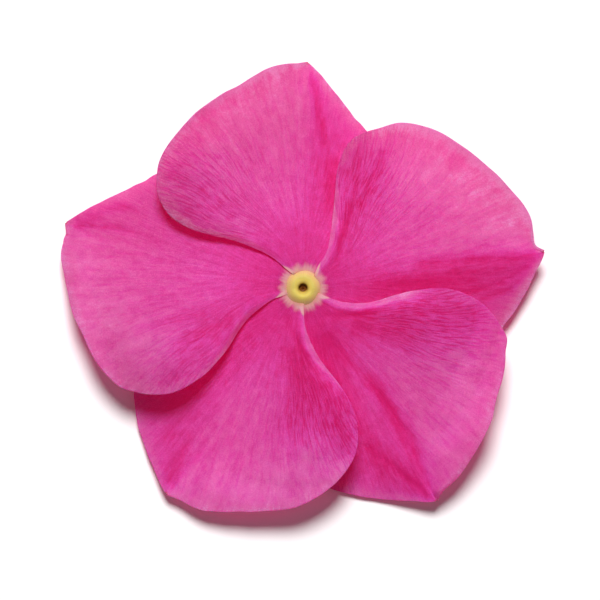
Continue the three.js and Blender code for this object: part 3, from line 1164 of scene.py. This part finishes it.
@dataclass
class Petal(PetalForm):
    """One petal with its thickness and its pigment. The pigment is on the scale of the ramp's places."""

    rows: int = 230
    columns: int = 190
    covered_share: float = 0.4
    claw_thickness: float = 0.38
    claw_thins: Span = (1.6, 5.6)
    hatch_least: float = 0.3
    hatch_side: Span = (0.2, 0.65)
    hatch_out: Span = (3.0, 9.0)
    hatch_past_crown: Span = (0.06, 0.26)
    pigment_far: float = 0.64
    pigment_eye: float = 0.3
    eye_fades: Span = (11.0, 2.0)
    heart_fades: Span = (14.0, 6.0)
    paling_out: Span = (12.0, 22.0)
    crown_side: Span = (0.3, 0.7)
    crown_flat: float = 1.4
    crown_half_length: float = 0.17
    band_paling: float = 0.38
    rim_width: float = 1.6
    rim_out: Span = (9.0, 15.0)
    shoulder_paling: float = 0.1
    shoulder_past_crown: Span = (0.12, 0.24)
    shoulder_side: Span = (0.35, 0.75)
    covered_soft: float = 0.35
    covered_out: Span = (3.0, 11.0)
    covered_loss: float = 0.7
    covered_edge: Span = (-0.45, -0.95)
    covered_far: Span = (14.0, 18.0)
    # Spans and width of the painted shade on the outer part and on the lobe's rim.
    outer_shade_out: Span = (5.0, 17.0)
    shade_rim_width: float = 5.0
    shade_rim_out: Span = (10.0, 14.0)
    shade_rim_side: Span = (0.0, 0.4)
    ridge_margin: Span = (0.5, 0.1)
    ridge_out: Span = (3.7, 2.1)
    mucro_share: float = 0.8
    mucro_near: Span = (0.3, 0.05)

    def hatch(self, blade: Blade) -> np.ndarray:
        """Says how strongly the fine lines show: most on the shoulder of the lobe, where it is wrinkled.

        Args:
            blade: The sheet's points.

        Returns:
            The lines' strength.
        """
        shape = self.shape
        lobe = rise(blade.side, self.hatch_side) * rise(blade.radius, self.hatch_out)
        lobe = lobe * (1 - rise(blade.out - shape.crown_place, self.hatch_past_crown))
        return self.hatch_least + (shape.texture - self.hatch_least) * lobe

    def under_last(self, blade: Blade) -> np.ndarray:
        """Finds the half beside the petal before, which partly lies over it, from 0 off it to 1 on it."""
        half = smooth(-blade.side / self.covered_soft + self.shape.covered_start)
        return half * rise(blade.radius, self.covered_out)

    def pigment(self, blade: Blade) -> np.ndarray:
        """Says how dense the pigment is, with painted shade in the hollow beside the band and along the
        creases.

        Args:
            blade: The sheet's points.

        Returns:
            The density.
        """
        shape, radius, side, band = self.shape, blade.radius, blade.side, self.band(blade)
        past_crown = blade.out - shape.crown_place
        covered_edge = rise(side, self.covered_edge) * rise(radius, self.covered_far)
        covered = self.under_last(blade) * (1 - self.covered_loss * covered_edge)
        crown_reach = self.crown_flat * (1 - np.abs(past_crown) / self.crown_half_length)
        crown = rise(side, self.crown_side) * smooth(crown_reach) * (1 - band)
        rim = (1 - smooth(blade.to_margin / self.rim_width)) * rise(radius, self.rim_out)
        shoulder = rise(past_crown, self.shoulder_past_crown) * rise(side, self.shoulder_side)
        pigment = self.pigment_far + shape.tone + self.pigment_eye * rise(radius, self.eye_fades)
        pigment = pigment + shape.heart * rise(radius, self.heart_fades) * (1 - band)
        pigment = pigment + shape.covered_tone * covered + shape.crown * crown
        # Painted shade: the hollow beside the band is drawn darker for the shade in it.
        pigment = pigment + shape.valley_shade * self.valley(blade) - self.band_paling * band
        pigment = pigment - shape.paling * rise(radius, self.paling_out)
        pigment = pigment - self.shoulder_paling * shoulder - shape.rim_paling * rim
        # Painted shade: each crease is drawn darker along its line.
        for crease in shape.creases:
            pigment = pigment + crease.fold_shade * self.crease(crease, blade)
        return pigment

    def painted_shade_kept(self, blade: Blade) -> np.ndarray:
        """Paints shade into the skin: says what share of its colour is left after the painted shade, which
        darkens the outer part of the petals that lean towards the lamp, the lobe's rim, and the half that the
        petal before lies over and shades.

        Args:
            blade: The sheet's points.

        Returns:
            The share, 1 where no shade is painted.
        """
        shape = self.shape
        # Painted shade, for the light that the top petals catch as they lean towards the lamp, and for the
        # shadow of the petal before on the covered half.
        outer = shape.outer_painted_shade * rise(blade.radius, self.outer_shade_out)
        rim = (1 - smooth(blade.to_margin / self.shade_rim_width)) * rise(blade.radius, self.shade_rim_out)
        rim = rim * rise(blade.side, self.shade_rim_side)
        return 1 - outer - shape.rim_painted_shade * rim - shape.covered_painted_shade * self.under_last(blade)

    def marks(self, blade: Blade) -> dict[str, np.ndarray]:
        """Works out what the finishes read at each point.

        Args:
            blade: The sheet's points.

        Returns:
            The values of each attribute, by its name.
        """
        from_tip = np.hypot(blade.along - self.shape.tip, blade.across)
        ridge = rise(blade.to_margin, self.ridge_margin) * rise(blade.radius, self.ridge_out)
        return {
            "pigment": self.pigment(blade),
            "hatch": self.hatch(blade),
            "painted_shade_kept": self.painted_shade_kept(blade),
            "radius_mm": blade.radius,
            "ridge": ridge * (blade.side > 0),
            "mucro": self.mucro_share * rise(from_tip, self.mucro_near),
        }

    def build(self, upper: Material, under: Material) -> Object:
        """Makes the petal and puts it in the scene.

        Args:
            upper: Finish of the upper skin.
            under: Finish of the under skin.

        Returns:
            The petal's object.
        """
        shape = self.shape
        sheet = bmesh.new()
        bmesh.ops.create_grid(sheet, x_segments=self.rows, y_segments=self.columns, size=1.0)
        place = np.array([vert.co[:2] for vert in sheet.verts])
        out = (place[:, 0] + 1) / 2 * self.end
        middle = 2 * self.covered_share - 1
        side = place[:, 1] - middle
        side = np.where(side < 0, side / (1 + middle), side / (1 - middle))
        blade = self.layout(out, side)
        height = self.height(blade) + self.relief(blade)
        angle = math.radians(shape.direction)
        x = blade.along * math.cos(angle) - blade.across * math.sin(angle)
        y = blade.along * math.sin(angle) + blade.across * math.cos(angle)
        for vert, point in zip(sheet.verts, np.stack([x, y, height], axis=-1) * MM):
            vert.co = point
        mesh = bpy.data.meshes.new(f"{shape.node}_bloom")
        sheet.to_mesh(mesh)
        sheet.free()
        self.dress(mesh, blade, (upper, under))
        piece = place_piece(mesh, shape.node)
        self.give_thickness(piece, blade.radius)
        return piece

    def dress(self, mesh: Mesh, blade: Blade, skins: tuple[Material, Material]) -> None:
        """Gives the sheet its finishes, and what they read: its attributes and its fan map.

        Args:
            mesh: The petal's mesh.
            blade: The sheet's points, in the mesh's order.
            skins: Finishes of the upper and the under skin.
        """
        for name, value in self.marks(blade).items():
            mesh.attributes.new(name, "FLOAT", "POINT").data.foreach_set("value", value.astype(np.float32))
        corners = np.empty(len(mesh.loops), dtype=np.int32)
        mesh.loops.foreach_get("vertex_index", corners)
        fan_map = np.stack([blade.fan, blade.radius], axis=-1)[corners]
        mesh.uv_layers.new(name="fan").data.foreach_set("uv", fan_map.astype(np.float32).ravel())
        for skin in skins:
            mesh.materials.append(skin)

    def give_thickness(self, piece: Object, radius: np.ndarray) -> None:
        """Gives the sheet its thickness, which is greatest at the claw.

        Args:
            piece: The petal's object, still a bare sheet.
            radius: Distance of each of its points from the axis, in millimetres.
        """
        more = (self.claw_thickness - self.thickness) * (1 - rise(radius, self.claw_thins))
        group = piece.vertex_groups.new(name="thickness")
        for i, value in enumerate((self.thickness + more) / self.claw_thickness):
            group.add([i], float(value), "REPLACE")
        skin = piece.modifiers.new("tissue", "SOLIDIFY")
        skin.thickness = self.claw_thickness * MM
        skin.offset = 0.0
        skin.vertex_group = group.name
        skin.material_offset = Face.UNDER.value
        for polygon in piece.data.polygons:
            polygon.use_smooth = True


def spun(profile: list[tuple[float, float]], steps: int, closed: bool) -> bmesh.types.BMesh:
    """Spins a profile about the bloom's axis.

    Args:
        profile: Radius and height of each point, in millimetres.
        steps: Steps of the full turn.
        closed: Whether the last point joins the first. If not, both lie on the axis.

    Returns:
        The closed surface, in millimetres.
    """
    body = bmesh.new()
    verts = [body.verts.new((radius, 0.0, height)) for radius, height in profile]
    edges = [body.edges.new(pair) for pair in zip(verts, verts[1:])]
    if closed:
        edges.append(body.edges.new((verts[-1], verts[0])))
    bmesh.ops.spin(
        body,
        geom=verts + edges,
        cent=(0, 0, 0),
        axis=(0, 0, 1),
        angle=2 * math.pi,
        steps=steps,
        use_merge=True,
    )
    bmesh.ops.remove_doubles(body, verts=body.verts, dist=1e-4)
    bmesh.ops.recalc_face_normals(body, faces=body.faces)
    return body


def finished_mesh(body: bmesh.types.BMesh, name: str, finish: Material) -> Mesh:
    """Turns a surface in millimetres to a smooth mesh in metres.

    Args:
        body: The surface, which is freed.
        name: The mesh's name.
        finish: Its finish.

    Returns:
        The mesh.
    """
    bmesh.ops.scale(body, vec=(MM, MM, MM), verts=body.verts)
    mesh = bpy.data.meshes.new(name)
    body.to_mesh(mesh)
    body.free()
    mesh.materials.append(finish)
    for polygon in mesh.polygons:
        polygon.use_smooth = True
    return mesh


def polar(place: Vector) -> tuple[float, float]:
    """Distance of a place from the bloom's axis, and its angle round it."""
    return math.hypot(place.x, place.y), math.atan2(place.y, place.x)


class TurnedPiece:
    """A piece that starts as a section spun about the bloom's axis."""

    node: ClassVar[str]
    slot: ClassVar[str]
    turn_steps: ClassVar[int]
    closed: ClassVar[bool] = True

    def profile(self) -> list[tuple[float, float]]:
        """Draws the section, as radius and height of each point, in millimetres."""
        raise NotImplementedError

    def refine(self, body: bmesh.types.BMesh) -> None:
        """Works on the spun surface, in millimetres. A plain piece leaves it as it is."""

    def build(self, finish: Material) -> Object:
        """Makes the piece and puts it in the scene.

        Args:
            finish: Its finish.

        Returns:
            Its object.
        """
        body = spun(self.profile(), self.turn_steps, self.closed)
        self.refine(body)
        mesh = finished_mesh(body, f"{self.node}_bloom", finish)
        return place_piece(mesh, self.node)


@dataclass
class EyeRing(TurnedPiece):
    """The raised ring round the mouth, in five soft lobes with fine furrows, with hairs in its throat."""

    node = "eye_ring"
    slot = "eye_ring"
    turn_steps = 184
    bend_steps: int = 14
    mouth: float = 0.42
    crest_radius: float = 0.95
    crest_height: float = 5.88
    outer: float = 1.8
    outer_height: float = 5.33
    foot: float = 4.3
    funnel_depth: float = 0.6
    hair_radius: float = 0.06
    hair_height: float = 5.06
    lobes: int = 5
    lobe_depth: float = 0.05
    lobe_turn: float = 0.6
    mouth_shift: float = -0.13
    shift_reach: float = 1.0
    furrow_depth: float = 0.014
    furrows: int = 46

    def profile(self) -> list[tuple[float, float]]:
        """Draws the section, from the foot up the outside, over the crest and down the throat.

        Returns:
            Radius and height of each point, in millimetres.
        """
        steps = self.bend_steps
        climb = self.crest_height - self.outer_height
        inner = self.crest_radius - self.mouth
        points = [(self.outer - 0.12, self.foot), (self.outer - 0.02, self.foot + 0.3)]
        for i in range(steps):
            share = i / steps
            radius = self.outer + (self.crest_radius - self.outer) * share
            points.append((radius, self.outer_height + climb * math.sin(share * math.pi / 2)))
        for i in range(steps + 1):
            angle = math.pi / 2 * i / steps
            radius = self.crest_radius - inner * math.sin(angle)
            points.append((radius, self.crest_height - self.funnel_depth * (1 - math.cos(angle))))
        hair_root = self.mouth + 0.03
        points += [(hair_root, self.hair_height + 0.08), (self.hair_radius + 0.1, self.hair_height + 0.03)]
        points.append((self.hair_radius, self.hair_height - 0.04))
        points.append((self.hair_radius + 0.02, self.hair_height - 0.15))
        points += [(hair_root, self.hair_height - 0.2), (hair_root + 0.05, self.foot)]
        return points

    def refine(self, body: bmesh.types.BMesh) -> None:
        """Gives the ring its lobes and furrows, and moves its mouth off the axis.

        Args:
            body: The spun ring.
        """
        for vert in body.verts:
            radius, angle = polar(vert.co)
            share = min(1.0, max(0.0, (radius - self.mouth) / (self.crest_radius - self.mouth)))
            top = 1.0 if vert.co.z > self.outer_height - 0.01 else 0.0
            lobe = self.lobe_depth * share * (0.5 - 0.5 * math.cos(self.lobes * angle - self.lobe_turn))
            furrow = self.furrow_depth * share * math.cos(self.furrows * angle)
            vert.co.z += top * (furrow - lobe)
            vert.co.y += self.mouth_shift * rise(radius, (self.mouth + self.shift_reach, self.mouth))


@dataclass
class CorollaTube(TurnedPiece):
    """The short cut length of tube: swollen round the anthers, ribbed, and flared under the petals.

    The ribs are pairs of how many stand round the tube and how far, as a share of its radius.
    """

    node = "corolla_tube"
    slot = "corolla_tube"
    turn_steps = 120
    cut_radius: float = 1.2
    cut_bore: float = 0.75
    swell: float = 1.8
    wall: float = 0.42
    top: float = 4.2
    flare: float = 2.6
    ribs: Points = ((5, 0.022), (20, 0.008))
    rib_start: float = 0.6

    def profile(self) -> list[tuple[float, float]]:
        """Draws the section, up the outside and down the bore.

        Returns:
            Radius and height of each point, in millimetres.
        """
        bore = self.swell - self.wall
        outside = [
            (self.cut_radius - 0.04, 0.0),
            (self.cut_radius, 0.05),
            (self.cut_radius + 0.06, 0.5),
            (self.swell - 0.3, 0.95),
            (self.swell - 0.1, 1.4),
            (self.swell, 1.9),
            (self.swell, 2.4),
            (self.swell - 0.08, 2.8),
            (self.swell - 0.18, 3.1),
            (self.swell - 0.16, 3.4),
            (self.swell + 0.05, 3.68),
            (self.flare - 0.35, 3.98),
            (self.flare, 4.3),
            (self.flare + 0.04, 4.42),
            (self.flare - 0.1, 4.44),
        ]
        inside = [
            (self.flare - 0.5, self.top + 0.02),
            (bore - 0.2, self.top),
            (bore - 0.28, 3.6),
            (bore - 0.06, 3.0),
            (bore, 1.7),
            (bore - 0.18, 1.0),
            (self.cut_bore + 0.02, 0.5),
            (self.cut_bore, 0.05),
            (self.cut_bore + 0.05, 0.0),
        ]
        return outside + inside

    def refine(self, body: bmesh.types.BMesh) -> None:
        """Raises the ribs on the outside.

        Args:
            body: The spun tube.
        """
        for vert in body.verts:
            radius, angle = polar(vert.co)
            outside = 1.0 if radius > self.swell - self.wall + 0.1 else 0.0
            ribs = sum(depth * math.cos(count * angle) for count, depth in self.ribs)
            push = 1 + outside * ribs * smooth(vert.co.z / self.rib_start)
            vert.co.x *= push
            vert.co.y *= push


@dataclass
class Stamens(TurnedPiece):
    """Five anthers that lean together over the stigma, each with two pollen sacs and a pointed top.

    They stand on the ring of their short stalks.
    """

    node = "stamens"
    slot = "stamens"
    turn_steps = 60
    count: int = 5
    anther_sides: int = 24
    anther_rows: int = 20
    length: float = 2.0
    width: float = 0.5
    depth: float = 0.36
    radius: float = 0.76
    lean: float = 10.0
    ring_radius: float = 0.93
    ring_height: float = 1.35
    ring_thickness: float = 0.26
    ring_sides: int = 12
    groove: float = 0.35
    groove_width: float = 0.12
    back_groove: float = 0.3
    taper: float = 0.35
    taper_start: float = -0.1
    seat: float = 0.42

    def profile(self) -> list[tuple[float, float]]:
        """Draws the round section of the stalks' ring.

        Returns:
            Radius and height of each point, in millimetres.
        """
        half = self.ring_thickness / 2
        angles = [2 * math.pi * i / self.ring_sides for i in range(self.ring_sides)]
        return [
            (self.ring_radius + half * math.cos(angle), self.ring_height + half * math.sin(angle))
            for angle in angles
        ]

    def refine(self, body: bmesh.types.BMesh) -> None:
        """Stands the anthers on the ring.

        Args:
            body: The spun ring.
        """
        for i in range(self.count):
            made = bmesh.ops.create_uvsphere(
                body, u_segments=self.anther_sides, v_segments=self.anther_rows, radius=0.5
            )["verts"]
            for vert in made:
                groove = self.groove * math.exp(-((vert.co.y / self.groove_width) ** 2))
                vert.co.x *= 1 - groove * (1 if vert.co.x > 0 else self.back_groove)
                slimmer = 1 - self.taper * max(0.0, vert.co.z - self.taper_start)
                vert.co.x *= self.depth * slimmer
                vert.co.y *= self.width * slimmer
                vert.co.z *= self.length
            turn = Matrix.Rotation(2 * math.pi * (i + 0.5) / self.count, 4, "Z")
            shift = Matrix.Translation((self.radius, 0, self.ring_height + self.seat * self.length))
            tilt = Matrix.Rotation(math.radians(-self.lean), 4, "Y")
            bmesh.ops.transform(body, matrix=turn @ shift @ tilt, verts=made)


@dataclass
class Style(TurnedPiece):
    """The slim style with its drum-shaped stigma head and the small peak on it."""

    node = "style_and_stigma"
    slot = "style"
    turn_steps = 40
    closed = False
    foot: float = 0.15
    radius: float = 0.2
    head: float = 0.34
    top: float = 2.75

    def profile(self) -> list[tuple[float, float]]:
        """Draws the section, from the foot up to the peak.

        Returns:
            Radius and height of each point, in millimetres.
        """
        return [
            (0.0, self.foot),
            (self.radius - 0.03, self.foot),
            (self.radius, self.foot + 0.05),
            (self.radius - 0.02, 1.0),
            (self.radius, self.top - 1.05),
            (self.head - 0.02, self.top - 0.92),
            (self.head, self.top - 0.85),
            (self.head - 0.06, self.top - 0.75),
            (self.head - 0.05, self.top - 0.6),
            (self.head, self.top - 0.5),
            (self.head, self.top - 0.35),
            (self.head - 0.08, self.top - 0.22),
            (0.12, self.top - 0.1),
            (0.0, self.top),
        ]


@dataclass
class Studio:
    """The pale floor, the soft light from the top of the picture, and the camera straight overhead."""

    field_mm: float = 60.0
    sensor_mm: float = 36.0
    near_clip: float = 0.01
    camera_height: float = 0.5
    aim_mm: tuple[float, float, float] = (-0.3, -1.24, 3.0)
    floor_size: float = 3.0
    key_power: float = 19.2
    key_size: float = 0.42
    key_place: tuple[float, float, float] = (0.0, 0.6, 1.039)
    ambient: float = 0.11

    def build(self) -> None:
        """Makes the floor, the lights and the camera."""
        self.floor()
        self.lights()
        self.camera()

    def floor(self) -> None:
        """A wide plain floor just under the bloom."""
        ground = bmesh.new()
        bmesh.ops.create_grid(ground, x_segments=1, y_segments=1, size=self.floor_size / 2)
        mesh = bpy.data.meshes.new("floor")
        ground.to_mesh(mesh)
        ground.free()
        mesh.materials.append(MattPaper().material())
        floor = bpy.data.objects.new("floor", mesh)
        bpy.context.collection.objects.link(floor)

    def lights(self) -> None:
        """One soft key light and an even white surround."""
        lamp = bpy.data.lights.new("key", "AREA")
        lamp.shape = "DISK"
        lamp.size = self.key_size
        lamp.energy = self.key_power
        key = bpy.data.objects.new("key", lamp)
        key.location = self.key_place
        key.rotation_euler = (-Vector(self.key_place)).to_track_quat("-Z", "Y").to_euler()
        bpy.context.collection.objects.link(key)
        world = bpy.data.worlds.new("surround")
        world.use_nodes = True
        sky = world.node_tree.nodes["Background"]
        sky.inputs["Color"].default_value = (1.0, 1.0, 1.0, 1.0)
        sky.inputs["Strength"].default_value = self.ambient
        bpy.context.scene.world = world

    def camera(self) -> None:
        """A long lens straight overhead, with the top of the picture towards +Y."""
        lens = bpy.data.cameras.new("camera")
        lens.sensor_width = self.sensor_mm
        lens.lens = self.sensor_mm * (self.camera_height - self.aim_mm[2] * MM) / (self.field_mm * MM)
        lens.clip_start = self.near_clip
        eye = bpy.data.objects.new("camera", lens)
        eye.location = (self.aim_mm[0] * MM, self.aim_mm[1] * MM, self.camera_height)
        bpy.context.collection.objects.link(eye)
        bpy.context.scene.camera = eye


class Bloom:
    """The whole bloom, piece by piece."""

    def build(self) -> dict[str, Object]:
        """Makes every piece.

        Returns:
            The pieces by the solids that they stand for, petals first.
        """
        upper = PetalVelvet().material()
        under = PetalUnderside().material()
        pieces = {}
        for i, shape in enumerate(PETALS):
            to_next = (PETALS[(i + 1) % len(PETALS)].direction - shape.direction) % 360
            from_last = (shape.direction - PETALS[i - 1].direction) % 360
            petal = Petal(shape, step_to_next=to_next, step_from_last=from_last)
            pieces[shape.node] = petal.build(upper, under)
        turned = (
            (EyeRing(), WaxyRing()),
            (CorollaTube(), StalkTissue("corolla tube pale green", "dccf9c", "c3bd84", grain_mm=0.5)),
            (Stamens(), StalkTissue("anther dry sacs", "cfa64e", "a8782c", grain_mm=0.2, roughness=0.7)),
            (Style(), StalkTissue("style green tissue", "bcc78c", "9fae6a", grain_mm=0.25)),
        )
        for piece, finish in turned:
            pieces[piece.node] = piece.build(finish.material())
        return pieces


def main() -> None:
    """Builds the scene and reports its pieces."""
    logging.basicConfig(level=logging.INFO, format="%(name)s: %(message)s")
    scene = bpy.context.scene
    scene.view_settings.view_transform = "Standard"
    Studio().build()
    for node, piece in Bloom().build().items():
        low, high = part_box(node)
        tall = (high[2] - low[2]) / MM
        LOG.info("%s: %d faces, stands for a solid %.1f mm high", piece.name, len(piece.data.polygons), tall)


if __name__ == "__main__":
    main()
